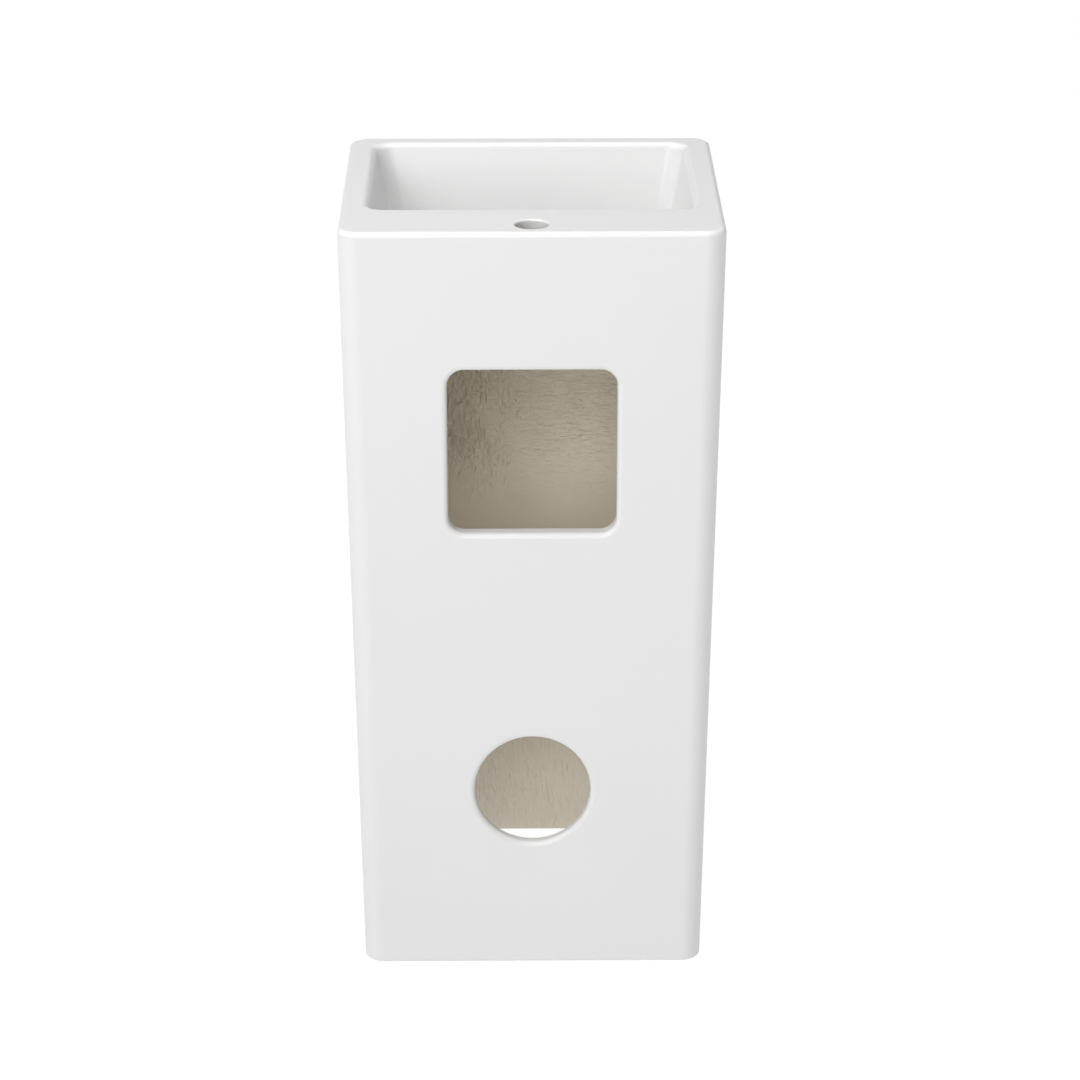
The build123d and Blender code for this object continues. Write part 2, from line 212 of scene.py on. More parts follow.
# Cartridge: grooves are levels above the part's foot or seat.
STUD_TIP = 0.0032
STUD_THREAD = 0.00396
CUP_GROOVE = (0.004, 0.0045, 0.006, 0.0065)
CUP_GROOVE_DEPTH = 0.0004
SLEEVE_BORE = 0.0069
SLEEVE_FLOOR = 0.0025
COLLAR_SLOT = 0.0006
COLLAR_SLOT_DEPTH = 0.0008
ROD_RADIUS = 0.00396
ROD_HOLE = 0.00406
TIP_CHAMFER = 0.0006
PISTON_HEIGHT = 0.0035
PISTON_GROOVE = (0.0013, 0.0015, 0.0020, 0.0022)
PISTON_GROOVE_DEPTH = 0.0004
ROTOR_TEETH = 6
ROTOR_SIDES = 72
ROTOR_SLOT = 0.0008
ROTOR_SLOT_DEPTH = 0.0012
SPRING_RADIUS = 0.005
SPRING_WIRE = 0.00045
SPRING_TURNS = 5
SPRING_STEPS = 40
WIRE_SIDES = 16

CAP_RIM = 0.0024
CAP_BOSS = 0.0065
CAP_SIDES = 128
DOME_DEGREES = range(0, 85, 6)
SEAL_BORE = 0.018
SEAL_FOOT = 0.0232
# The notch round the seal: steps in radius and level from its middle.
SEAL_NOTCH = ((-0.0002, -0.0004), (-0.0006, 0), (0.0003, 0.0004))

# Bisque: the levels that its painted shade (darker low down), wrinkles and streaks run between.
PAINTED_SHADE_LEVELS = (0.15, 0.5)
WRINKLE_LEVELS = (0.41, 0.49)
STREAK_LEVELS = (0.26, 0.19)

# Stage. A soft box has a name, its place seen from the middle of the sink, its side and its watts.
ROOM_LEVEL = 0.02
ROOM_LEAST = 0.1
ROOM_PULL = {"X": 0.03, "Y": -0.03, "Z": 0.52}
SOFT_BOXES = (
    ("key", (0.62, 4.2, 1.55), 1.8, 64.0),
    ("fill", (2.2, 1.6, 3.4), 2.8, 80.0),
    ("top", (0.3, 0.2, 4.4), 2.4, 90.0),
)
FLOOR_SIZE = 600
FLOOR_TONE = (0.08, 0.08, 0.08)
FLOOR_GLOW = 0.97
CAMERA_PLACE = (0.0232, 3.710, 1.8933)
CAMERA_PITCH = math.radians(21.475)
CAMERA_YAW = math.radians(0.511)
CAMERA_LENS = 117.875
CAMERA_SENSOR = 36
CAMERA_REACH = 1000


# ---------------------------------------------------------------- hand tools

def settle():
    """Back to object mode with nothing selected."""
    if bpy.context.mode != "OBJECT":
        bpy.ops.object.mode_set(mode="OBJECT")
    bpy.ops.object.select_all(action="DESELECT")


def activate(piece):
    settle()
    piece.select_set(True)
    bpy.context.view_layer.objects.active = piece


@contextlib.contextmanager
def editing(piece, kind="FACE"):
    """Edit mode on one piece, with nothing in it selected."""
    activate(piece)
    bpy.ops.object.mode_set(mode="EDIT")
    bpy.ops.mesh.select_mode(type=kind)
    bpy.ops.mesh.select_all(action="DESELECT")
    yield bmesh.from_edit_mesh(piece.data)
    settle()


def pick(piece, kind, test):
    """Selects the edit-mode elements that pass the test, and returns how many there are."""
    bpy.ops.mesh.select_mode(type=kind)
    bpy.ops.mesh.select_all(action="DESELECT")
    mesh = bmesh.from_edit_mesh(piece.data)
    found = [e for e in {"VERT": mesh.verts, "EDGE": mesh.edges, "FACE": mesh.faces}[kind] if test(e)]
    for element in found:
        element.select_set(True)
    bmesh.update_edit_mesh(piece.data)
    return len(found)


def middle(edge):
    return (edge.verts[0].co + edge.verts[1].co) / 2


def direction(edge):
    return (edge.verts[1].co - edge.verts[0].co).normalized()


def at_height(edge, z):
    return all(abs(v.co.z - z) < LEVEL for v in edge.verts)


def upright(edge):
    return abs(direction(edge).z) > ALONG


def round_the_drain(edge, radius):
    at = middle(edge)
    return math.hypot(at.x, at.y - DRAIN_Y) < radius + NEAR


def block(name, low, high, material):
    """A cube primitive drawn out to a box, with one material."""
    settle()
    bpy.ops.mesh.primitive_cube_add(size=1, location=(Vector(low) + Vector(high)) / 2)
    piece = bpy.context.active_object
    piece.name = name
    piece.data.name = name
    piece.scale = Vector(high) - Vector(low)
    bpy.ops.object.transform_apply(location=True, rotation=True, scale=True)
    piece.data.materials.append(material)
    return piece


def drafted_block(name, low, high, material):
    """A block between two level rectangles, each (x0, x1, y0, y1, z)."""
    x0, x1, y0, y1, z0 = low
    u0, u1, v0, v1, z1 = high
    piece = block(name, (x0, y0, z0), (x1, y1, z1), material)
    with editing(piece):
        pick(piece, "FACE", lambda f: f.normal.z > ALONG)
        centre = Vector(((x0 + x1) / 2, (y0 + y1) / 2, z1))
        spread = ((u1 - u0) / (x1 - x0), (v1 - v0) / (y1 - y0), 1)
        bpy.ops.transform.resize(value=spread, center_override=centre)
        bpy.ops.transform.translate(value=((u0 + u1) / 2 - centre.x, (v0 + v1) / 2 - centre.y, 0))
    return piece


def drum(name, radius, low, high, centre, material, along="Z"):
    """A cylinder primitive between two levels of the named axis."""
    settle()
    x, y, z = centre
    if along == "Z":
        place, turn = (x, y, (low + high) / 2), (0, 0, 0)
    else:
        place, turn = (x, (low + high) / 2, z), (math.pi / 2, 0, 0)
    bpy.ops.mesh.primitive_cylinder_add(
        vertices=ROUND_SIDES, radius=radius, depth=high - low, location=place, rotation=turn
    )
    piece = bpy.context.active_object
    piece.name = name
    bpy.ops.object.transform_apply(location=True, rotation=True, scale=True)
    piece.data.materials.append(material)
    return piece


def round_edges(piece, test, radius, segments):
    """Rounds the edges that pass the test."""
    with editing(piece, "EDGE"):
        if not pick(piece, "EDGE", test):
            raise RuntimeError(f"no edge of {piece.name} to round")
        bpy.ops.mesh.bevel(
            offset_type="OFFSET", offset=radius, segments=segments, profile=0.5, affect="EDGES"
        )


def combine(piece, tool, how, solver="EXACT"):
    """Joins a tool block to a piece or cuts it out, and removes the tool."""
    activate(piece)
    modifier = piece.modifiers.new(how.title(), "BOOLEAN")
    modifier.operation = how
    modifier.object = tool
    modifier.solver = solver
    modifier.material_mode = "TRANSFER"
    bpy.ops.object.modifier_apply(modifier=modifier.name)
    bpy.data.objects.remove(tool)


def clean(piece):
    """Merges doubles."""
    with editing(piece, "VERT"):
        bpy.ops.mesh.select_all(action="SELECT")
        bpy.ops.mesh.remove_doubles(threshold=MERGE)


def smooth(piece, degrees=30.0):
    """Smooth shading with creases past an angle, and flat faces that stay flat."""
    activate(piece)
    bpy.ops.object.shade_smooth_by_angle(angle=math.radians(degrees))
    modifier = piece.modifiers.new("Even shading", "WEIGHTED_NORMAL")
    modifier.weight = 100
    modifier.keep_sharp = True
    bpy.ops.object.modifier_apply(modifier=modifier.name)


def stand_for(piece, body, slot, *nodes):
    """The finished piece rides on its body in place of its CAD nodes."""
    settle()
    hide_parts(*nodes)
    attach(piece, body)
    return piece


# ---------------------------------------------------------------- finishes

def new_material(name):
    material = bpy.data.materials.new(name)
    material.use_nodes = True
    return material, material.node_tree.nodes, material.node_tree.links


def shader(nodes, roughness, colour_value=None, metallic=0.0):
    surface = nodes["Principled BSDF"]
    surface.inputs["Roughness"].default_value = roughness
    surface.inputs["Metallic"].default_value = metallic
    if colour_value is not None:
        surface.inputs["Base Color"].default_value = (*colour_value, 1)
    return surface


def grain(nodes, links, source, scale, detail, roughness=0.55, distortion=0.0):
    """A noise pattern on the given coordinates."""
    texture = nodes.new("ShaderNodeTexNoise")
    texture.inputs["Scale"].default_value = scale
    texture.inputs["Detail"].default_value = detail
    texture.inputs["Roughness"].default_value = roughness
    texture.inputs["Distortion"].default_value = distortion
    links.new(source, texture.inputs["Vector"])
    return texture.outputs["Fac"]


def stretched(nodes, links, source, scale):
    """The coordinates, drawn out by a scale on each axis."""
    mapping = nodes.new("ShaderNodeMapping")
    mapping.inputs["Scale"].default_value = scale
    links.new(source, mapping.inputs["Vector"])
    return mapping.outputs["Vector"]


def two_tones(nodes, links, factor, first, second):
    """A colour that goes from first to second with the factor."""
    ramp = nodes.new("ShaderNodeValToRGB")
    ramp.color_ramp.elements[0].position = 0.3
    ramp.color_ramp.elements[0].color = (*first, 1)
    ramp.color_ramp.elements[1].position = 0.7
    ramp.color_ramp.elements[1].color = (*second, 1)
    links.new(factor, ramp.inputs["Fac"])
    return ramp.outputs["Color"]


def between(nodes, links, factor, low, high, out_low, out_high):
    """The factor moved from one range to another."""
    remap = nodes.new("ShaderNodeMapRange")
    for key, value in (("From Min", low), ("From Max", high), ("To Min", out_low), ("To Max", out_high)):
        remap.inputs[key].default_value = value
    links.new(factor, remap.inputs["Value"])
    return remap.outputs["Result"]


def times(nodes, links, a, b):
    product = nodes.new("ShaderNodeMath")
    product.operation = "MULTIPLY"
    links.new(a, product.inputs[0])
    if isinstance(b, (int, float)):
        product.inputs[1].default_value = b
    else:
        links.new(b, product.inputs[1])
    return product.outputs["Value"]


def plus(nodes, links, a, b):
    total = nodes.new("ShaderNodeMath")
    total.operation = "ADD"
    links.new(a, total.inputs[0])
    links.new(b, total.inputs[1])
    return total.outputs["Value"]


def raise_surface(nodes, links, height, distance, surface, before=None, strength=1.0):
    """A bump on the surface's normal, over an earlier bump if there is one."""
    bump = nodes.new("ShaderNodeBump")
    bump.inputs["Strength"].default_value = strength
    bump.inputs["Distance"].default_value = distance
    links.new(height, bump.inputs["Height"])
    if before is not None:
        links.new(before, bump.inputs["Normal"])
    links.new(bump.outputs["Normal"], surface.inputs["Normal"])
    return bump.outputs["Normal"]


def shade_of(value, factor):
    return tuple(min(1.0, c * factor) for c in value)


def glaze_material(tone):
    """White gloss glaze: faint pooling in its tone and a fine orange peel."""
    material, nodes, links = new_material("white_glaze")
    surface = shader(nodes, 0.28)
    surface.inputs["IOR"].default_value = 1.5
    place = nodes.new("ShaderNodeTexCoord").outputs["Object"]
    pooling = grain(nodes, links, place, scale=9.0, detail=3.0)
    links.new(two_tones(nodes, links, pooling, shade_of(tone, 0.995), shade_of(tone, 1.005)),
              surface.inputs["Base Color"])
    sheen = grain(nodes, links, place, scale=60.0, detail=1.0)
    links.new(between(nodes, links, sheen, 0, 1, 0.27, 0.31), surface.inputs["Roughness"])
    peel = grain(nodes, links, place, scale=420.0, detail=2.0)
    raise_surface(nodes, links, peel, 0.00002, surface, strength=0.4)
    return material


def ripples(nodes, links, source, scale):
    """Soft wandering ridges, drawn out by a scale on each axis."""
    drawn = stretched(nodes, links, source, scale)
    return grain(nodes, links, drawn, scale=1.0, detail=1.5, roughness=0.45, distortion=1.0)


def wrinkles(nodes, links, place, wander):
    """A wrinkled skin high up: level folds on one side of the middle, upright ones on the other."""
    split = nodes.new("ShaderNodeSeparateXYZ")
    links.new(place, split.inputs["Vector"])
    blend = nodes.new("ShaderNodeMix")
    side = plus(nodes, links, split.outputs["X"], wander)
    links.new(between(nodes, links, side, 0, 0.06, 0, 1), blend.inputs[0])
    links.new(ripples(nodes, links, place, (90, 90, 290)), blend.inputs[2])
    links.new(times(nodes, links, ripples(nodes, links, place, (230, 230, 95)), 1.8), blend.inputs[3])
    patchy = between(nodes, links, grain(nodes, links, place, scale=24.0, detail=2.0), 0.35, 0.65, 0.7, 1)
    high_up = times(nodes, links, between(nodes, links, split.outputs["Z"], *WRINKLE_LEVELS, 0, 1), patchy)
    return times(nodes, links, blend.outputs[0], high_up)


def bisque_material(tone):
    """Bare fired body: mottled tan with painted shade that darkens it low down, wrinkled above and finely
    streaked below.
    """
    material, nodes, links = new_material("tan_bisque")
    surface = shader(nodes, 0.86)
    surface.inputs["Specular IOR Level"].default_value = 0.35
    place = nodes.new("ShaderNodeTexCoord").outputs["Object"]
    split = nodes.new("ShaderNodeSeparateXYZ")
    links.new(place, split.inputs["Vector"])
    height = split.outputs["Z"]
    mottle = grain(nodes, links, place, scale=14.0, detail=5.0, roughness=0.6)
    # Painted shade: the tan is darkened low down by height, mixed with its real random mottling.
    mottle_and_painted_shade = plus(nodes, links, between(nodes, links, height, *PAINTED_SHADE_LEVELS, 0.12, 0.82),
                 between(nodes, links, mottle, 0.3, 0.7, -0.08, 0.08))
    links.new(two_tones(nodes, links, mottle_and_painted_shade, shade_of(tone, 0.87), shade_of(tone, 1.11)),
              surface.inputs["Base Color"])
    wander = between(nodes, links, mottle, 0.3, 0.7, -0.04, 0.04)
    skin = raise_surface(nodes, links, wrinkles(nodes, links, place, wander), 0.0048, surface)
    low_down = between(nodes, links, height, *STREAK_LEVELS, 0, 1)
    streaks = times(nodes, links, ripples(nodes, links, place, (300, 300, 60)), low_down)
    skin = raise_surface(nodes, links, streaks, 0.002, surface, skin)
    grit = grain(nodes, links, place, scale=700.0, detail=3.0)
    raise_surface(nodes, links, grit, 0.00015, surface, skin)
    return material


def metal_material(name, tone, roughness, lines):
    """Metal with a fine turned or drawn grain that runs round the drain."""
    material, nodes, links = new_material(name)
    surface = shader(nodes, roughness, metallic=1.0)
    place = nodes.new("ShaderNodeTexCoord").outputs["Object"]
    wear = grain(nodes, links, place, scale=160.0, detail=4.0, roughness=0.6)
    links.new(two_tones(nodes, links, wear, shade_of(tone, 0.95), shade_of(tone, 1.03)),
              surface.inputs["Base Color"])
    links.new(between(nodes, links, wear, 0.3, 0.7, roughness * 0.8, roughness * 1.3),
              surface.inputs["Roughness"])
    rings = grain(nodes, links, stretched(nodes, links, place, (60, 60, lines)), scale=1.0, detail=2.0)
    raise_surface(nodes, links, rings, 0.00001, surface, strength=0.4)
    return material


def soft_material(name, tone, roughness, scale):
    """Moulded rubber or plastic: a dusty tone and a fine matt grain."""
    material, nodes, links = new_material(name)
    surface = shader(nodes, roughness)
    place = nodes.new("ShaderNodeTexCoord").outputs["Object"]
    bloom = grain(nodes, links, place, scale=90.0, detail=4.0, roughness=0.6)
    links.new(two_tones(nodes, links, bloom, shade_of(tone, 0.85), shade_of(tone, 1.2)),
              surface.inputs["Base Color"])
    links.new(between(nodes, links, bloom, 0.3, 0.7, roughness * 0.9, min(1.0, roughness * 1.15)),
              surface.inputs["Roughness"])
    grit = grain(nodes, links, place, scale, detail=3.0)
    raise_surface(nodes, links, grit, 0.00003, surface, strength=0.6)
    return material


# ---------------------------------------------------------------- ceramic

def outline(s, z, side=0.0, front=0.0, back=0.0):
    """The sink's outside rectangle at height z, drawn in by its walls."""
    t = z / HEIGHT
    half = (s.foot_width + (s.rim_width - s.foot_width) * t) / 2 - side
    depth = s.foot_depth + (s.rim_depth - s.foot_depth) * t
    return (-half, half, BACK_Y - depth + front, BACK_Y - back, z)


def bowl_outline(s, z, grow=0.0):
    """The bowl's rectangle at height z, enlarged by grow all round."""
    draft = BOWL_DRAFT * (HEIGHT - z)
    half = s.bowl_half_width - draft + grow
    return (-half, half, BACK_Y - s.bowl_front + draft - grow, BACK_Y - s.bowl_back - draft + grow, z)


def outside(s, name, glaze):
    """The whole outside, rounded."""
    piece = drafted_block(name, outline(s, 0), outline(s, HEIGHT), glaze)
    round_edges(piece, upright, s.corner_radius, CORNER_STEPS)
    round_edges(piece, lambda e: at_height(e, HEIGHT), s.rim_edge, EDGE_STEPS)
    round_edges(piece, lambda e: at_height(e, 0), s.foot_edge, FOOT_STEPS)
    return piece


def keep_side(piece, z, upper):
    """Cuts a piece level at z and keeps its upper or lower side, closed."""
    with editing(piece):
        bpy.ops.mesh.select_all(action="SELECT")
        bpy.ops.mesh.bisect(
            plane_co=(0, 0, z), plane_no=(0, 0, 1), use_fill=True, clear_inner=upper, clear_outer=not upper
        )


def cavity(s, bisque):
    """The space inside the walls, run out through the foot."""
    roof = HEIGHT - s.deck
    walls = {"side": s.side_wall, "front": s.front_wall, "back": s.back_wall}
    piece = drafted_block("cavity", outline(s, -BEYOND, **walls), outline(s, roof, **walls), bisque)
    round_edges(piece, upright, *CAVITY_CORNER)
    round_edges(piece, lambda e: at_height(e, roof), *CAVITY_TOP)
    return piece


def window_tool(s, grow, y0, y1, material):
    """The rounded square, enlarged by grow, from y0 to y1."""
    half_w, half_h = s.window_width / 2 + grow, s.window_height / 2 + grow
    z = HEIGHT - s.window_drop
    piece = block("window_tool", (-half_w, y0, z - half_h), (half_w, y1, z + half_h), material)
    round_edges(piece, lambda e: abs(direction(e).y) > ALONG, s.window_corner + grow, WINDOW_STEPS)
    return piece


def make_column(s, glaze, bisque):
    """The column: walls, window with its lip, and port."""
    piece = outside(s, "column_casting", glaze)
    keep_side(piece, JOINT_Z, upper=False)
    combine(piece, cavity(s, bisque), "DIFFERENCE")
    inner = BACK_Y - s.back_wall
    combine(piece, window_tool(s, WINDOW_LIP_WIDTH, inner - WINDOW_LIP, inner + LIP_ROOT, bisque), "UNION")
    combine(piece, window_tool(s, 0, inner - 2 * WINDOW_LIP, BACK_Y + BEYOND, glaze), "DIFFERENCE")
    port_z = HEIGHT - s.port_drop
    port = drum("port_tool", s.port_radius, inner - BEYOND, BACK_Y + BEYOND, (0, 0, port_z), glaze, "Y")
    combine(piece, port, "DIFFERENCE")
    window_z = HEIGHT - s.window_drop

    def mouth(edge, y):
        at = middle(edge)
        on_plane = all(abs(v.co.y - y) < LEVEL for v in edge.verts)
        across, up = s.window_width / 2 + NEAR, s.window_height / 2 + NEAR
        window = abs(at.x) < across and abs(at.z - window_z) < up
        round_port = math.hypot(at.x, at.z - port_z) < s.port_radius + NEAR
        return on_plane and (window or round_port) and edge.calc_face_angle(0) > FOLD

    round_edges(piece, lambda e: mouth(e, BACK_Y), s.opening_edge, EDGE_STEPS)
    round_edges(piece, lambda e: mouth(e, inner), *INSIDE_MOUTH)
    round_edges(piece, lambda e: mouth(e, inner - WINDOW_LIP), *LIP_MOUTH)
    clean(piece)
    smooth(piece)
    return stand_for(piece, "root", "glaze", "pedestal_column")


def bowl_tool(s, glaze):
    """The water space, with a floor that falls smoothly to the drain."""
    floor = HEIGHT - s.bowl_depth
    piece = drafted_block("bowl_tool", bowl_outline(s, floor), bowl_outline(s, HEIGHT + BEYOND), glaze)
    round_edges(piece, upright, s.bowl_corner, BOWL_STEPS)
    round_edges(piece, lambda e: at_height(e, floor), s.bowl_floor, BOWL_STEPS)
    drain = Vector((0, BACK_Y - (s.bowl_back + s.bowl_front) / 2, floor))
    _, half, front, back, _ = bowl_outline(s, floor, -s.bowl_floor)
    start = Vector((half, (back - front) / 2))
    eye = SEAT_RADIUS + FALL_EYE
    with editing(piece):
        pick(piece, "FACE", lambda f: f.normal.z < -ALONG and abs(f.calc_center_median().z - floor) < LEVEL)
        size = start.copy()
        fallen = 0.0
        for ring in range(1, FALL_RINGS + 1):
            t = ring / FALL_RINGS
            target = start.lerp(Vector((eye, eye)), t)
            fall = s.bowl_fall * (1 - math.cos(math.pi * t)) / 2
            bpy.ops.mesh.extrude_region_move(TRANSFORM_OT_translate={"value": (0, 0, fallen - fall)})
            bpy.ops.transform.resize(value=(target.x / size.x, target.y / size.y, 1), center_override=drain)
            size, fallen = target, fall
    return piece


def bowl_shell(s, bisque):
    """The bowl's underside, a thick skin round the water space."""
    low = HEIGHT - s.bowl_depth - s.bowl_base
    top = HEIGHT - s.rim_edge
    piece = drafted_block(
        "bowl_shell", bowl_outline(s, low, s.bowl_wall), bowl_outline(s, top, s.bowl_wall), bisque
    )
    round_edges(piece, upright, *SHELL_CORNER)
    round_edges(piece, lambda e: at_height(e, low), *SHELL_FLOOR)
    return piece


def make_basin(s, glaze, bisque):
    """Deck, bowl and the top band of the walls."""
    piece = outside(s, "basin_casting", glaze)
    keep_side(piece, JOINT_Z, upper=True)
    combine(piece, cavity(s, bisque), "DIFFERENCE")
    combine(piece, bowl_shell(s, bisque), "UNION")
    drain_y = BACK_Y - (s.bowl_back + s.bowl_front) / 2
    seat = HEIGHT - s.bowl_depth - s.bowl_fall - SEAT_DEPTH
    pad = drum("pad", PAD_RADIUS, seat - s.bowl_base, seat + PAD_RISE, (0, drain_y, 0), bisque)
    combine(piece, pad, "UNION")
    combine(piece, bowl_tool(s, glaze), "DIFFERENCE")

    def rim(edge):
        at = middle(edge)
        inset = s.rim_edge + RIM_INSET
        inside = abs(at.x) < s.rim_width / 2 - inset and -BACK_Y + inset < at.y < BACK_Y - inset
        return at_height(edge, HEIGHT) and inside and edge.calc_face_angle(0) > FOLD

    wall_angle = math.pi / 2 - math.atan(BOWL_DRAFT)
    round_edges(piece, rim, s.bowl_rim * math.tan(wall_angle / 2), BOWL_STEPS)
    recess = drum("seat", SEAT_RADIUS, seat, seat + BEYOND, (0, drain_y, 0), glaze)
    combine(piece, recess, "DIFFERENCE")
    hole = drum("drain", DRAIN_RADIUS, seat - BEYOND, seat + BEYOND, (0, drain_y, 0), glaze)
    combine(piece, hole, "DIFFERENCE")
    tap_y = BACK_Y - s.tap_setback
    tap = drum("tap", s.tap_radius, JOINT_Z, HEIGHT + BEYOND, (0, tap_y, 0), glaze)
    combine(piece, tap, "DIFFERENCE")

    def tap_mouth(edge):
        at = middle(edge)
        ring = math.hypot(at.x, at.y - tap_y) < s.tap_radius + NEAR
        return at_height(edge, HEIGHT) and ring and edge.calc_face_angle(0) > FOLD

    round_edges(piece, tap_mouth, *TAP_MOUTH)
    clean(piece)
    smooth(piece)
    return stand_for(piece, "root", "glaze", "basin")


# ---------------------------------------------------------------- waste

def levels(node):
    """A node's lowest and highest level and its outside radius."""
    low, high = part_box(node)
    return low.z, high.z, high.x


def section(bore, radius, low, high):
    """The square-cornered section of a plain ring."""
    return [(bore, low), (radius, low), (radius, high), (bore, high)]


def turned(name, points, material, ring=True, vertices=ROUND_SIDES, soften=0.0003):
    """A piece turned about the drain: one ring drawn from each (radius, height) to the next.

    A ring piece closes on its first point; a solid piece gets a face over both ends."""
    settle()
    radius, level = points[0]
    bpy.ops.mesh.primitive_circle_add(vertices=vertices, radius=radius, location=(0, DRAIN_Y, level))
    piece = bpy.context.active_object
    piece.name = name
    bpy.ops.object.transform_apply(location=True, rotation=True, scale=True)
    piece.data.materials.append(material)
    path = points[1:] + points[:1] if ring else points[1:]
    with editing(piece, "EDGE"):
        bpy.ops.mesh.select_all(action="SELECT")
        for next_radius, next_level in path:
            bpy.ops.mesh.extrude_edges_move(TRANSFORM_OT_translate={"value": (0, 0, next_level - level)})
            scale = next_radius / radius
            bpy.ops.transform.resize(value=(scale, scale, 1), center_override=(0, DRAIN_Y, next_level))
            radius, level = next_radius, next_level
        if ring:
            bpy.ops.mesh.select_all(action="SELECT")
            bpy.ops.mesh.remove_doubles(threshold=MERGE)
        else:
            for end in (points[0], points[-1]):
                pick(piece, "EDGE", lambda e: len(e.link_faces) == 1 and at_height(e, end[1]))
                bpy.ops.mesh.edge_face_add()
        bpy.ops.mesh.select_all(action="SELECT")
        bpy.ops.mesh.normals_make_consistent(inside=False)
        if soften and pick(piece, "EDGE", lambda e: e.calc_face_angle(0) > TURNED_FOLD):
            bpy.ops.mesh.bevel(
                offset_type="OFFSET", offset=soften, segments=3, affect="EDGES", clamp_overlap=True
            )
    return piece


def spun_about(piece, degrees):
    """Turns a piece's mesh about the drain."""
    with editing(piece):
        bpy.ops.mesh.select_all(action="SELECT")
        bpy.ops.transform.rotate(
            value=math.radians(degrees), orient_axis="Z", center_override=(0, DRAIN_Y, 0)
        )
    return piece


def screwed(piece, pitch, turns, steps):
    """Draws a closed outline into a helix about the drain, with its ends closed."""
    activate(piece)
    modifier = piece.modifiers.new("Helix", "SCREW")
    modifier.axis = "Z"
    modifier.angle = 2 * math.pi
    modifier.screw_offset = pitch
    modifier.iterations = turns
    modifier.steps = steps
    modifier.render_steps = steps
    modifier.use_smooth_shade = False
    bpy.ops.object.modifier_apply(modifier=modifier.name)
    bpy.ops.object.transform_apply(location=True, rotation=True, scale=True)
    with editing(piece, "EDGE"):
        bpy.ops.mesh.select_all(action="SELECT")
        bpy.ops.mesh.fill_holes(sides=OUTLINE_SIDES)
        bpy.ops.mesh.select_all(action="SELECT")
        bpy.ops.mesh.normals_make_consistent(inside=False)


def thread(low, turns, material):
    """A ridge with sloping sides that winds up the tube from a level."""
    settle()
    root = THREAD_CORE - THREAD_BITE
    place = ((root + THREAD_CREST) / 2, DRAIN_Y, low + THREAD_PITCH / 2)
    bpy.ops.mesh.primitive_plane_add(size=1, location=place, rotation=(math.pi / 2, 0, 0))
    ridge = bpy.context.active_object
    ridge.name = "tube_thread"
    ridge.scale = (THREAD_CREST - root, THREAD_PITCH * THREAD_FOOT, 1)
    bpy.ops.object.transform_apply(location=False, rotation=True, scale=True)
    ridge.data.materials.append(material)
    with editing(ridge):
        pick(ridge, "VERT", lambda v: v.co.x > 0)
        bpy.ops.transform.resize(value=(1, 1, THREAD_TOP), center_override=place)
        bpy.ops.mesh.select_all(action="SELECT")
        bpy.ops.transform.translate(value=(place[0], 0, 0))
        bpy.ops.mesh.delete(type="ONLY_FACE")
    ridge.location.x = 0
    screwed(ridge, THREAD_PITCH, turns, THREAD_STEPS)
    return ridge


def make_waste_body(plate):
    """Dished flange, threaded tube with its cut-off groove, and the bridge for the cartridge."""
    low, high, radius = levels("waste_body")
    flange = levels("flange_gasket")[1]
    piece = turned("waste_tube_and_flange", [
        (TUBE_BORE, low), (THREAD_CORE, low), (THREAD_CORE, flange), (radius, flange),
        (radius, high - FLANGE_CHAMFER), (radius - FLANGE_CHAMFER, high), (DISH_RADIUS, high),
        (TUBE_BORE, high - DISH_DEPTH),
    ], plate)
    turns = int((flange - low - THREAD_ENDS) / THREAD_PITCH)
    combine(piece, thread(low + THREAD_START, turns, plate), "UNION", "MANIFOLD")
    groove = turned("groove", section(THREAD_CORE, radius, *GROOVE), plate, soften=0)
    combine(piece, groove, "DIFFERENCE", "MANIFOLD")
    boss = turned("bridge_boss", section(STUD_RADIUS, BRIDGE_BOSS, *BRIDGE), plate)
    reach = (TUBE_BORE + THREAD_CORE) / 2
    inner = (STUD_RADIUS + BRIDGE_BOSS) / 2
    half = BRIDGE_ARM / 2
    for turn in (0, 120, 240):
        arm = block(
            "arm",
            (-half, DRAIN_Y + inner, BRIDGE[0] + ARM_SET),
            (half, DRAIN_Y + reach, BRIDGE[1] - ARM_SET),
            plate,
        )
        round_edges(arm, lambda e: abs(direction(e).y) > ALONG, *ARM_EDGE)
        combine(boss, spun_about(arm, turn), "UNION", "MANIFOLD")
    combine(piece, boss, "UNION", "MANIFOLD")
    clean(piece)
    smooth(piece)
    return stand_for(piece, "root", "chrome", "waste_body")


def make_washers(rubber, nylon):
    """Gasket over the bowl's floor, and taper and slip washers under it."""
    low, high, radius = levels("flange_gasket")
    groove = low + (high - low) * GASKET_GROOVE_DEPTH
    near, far = radius - GASKET_GROOVE, radius - GASKET_GROOVE + GASKET_GROOVE_WIDTH
    gasket = turned("flange_gasket_ring", [
        (WASHER_BORE, low), (near, low), (near + GASKET_GROOVE_SLOPE, groove),
        (far - GASKET_GROOVE_SLOPE, groove), (far, low), (radius, low), (radius, high),
        (WASHER_BORE, high),
    ], rubber)
    smooth(gasket)
    stand_for(gasket, "root", "rubber", "flange_gasket")
    low, high, radius = levels("taper_washer")
    pad = high - SPIGOT
    spigot = DRAIN_RADIUS - SPIGOT_GAP
    taper = turned("taper_washer_ring", [
        (WASHER_BORE, low), (radius, low), (radius, low + TAPER_FOOT), (radius - TAPER_LEAN, pad),
        (spigot, pad), (spigot - SPIGOT_TAPER, high), (WASHER_BORE, high),
    ], rubber)
    smooth(taper)
    stand_for(taper, "root", "rubber", "taper_washer")
    low, high, radius = levels("slip_washer")
    slip = turned("slip_washer_ring", section(WASHER_BORE, radius, low, high), nylon, soften=0.0004)
    smooth(slip)
    stand_for(slip, "root", "nylon", "slip_washer")


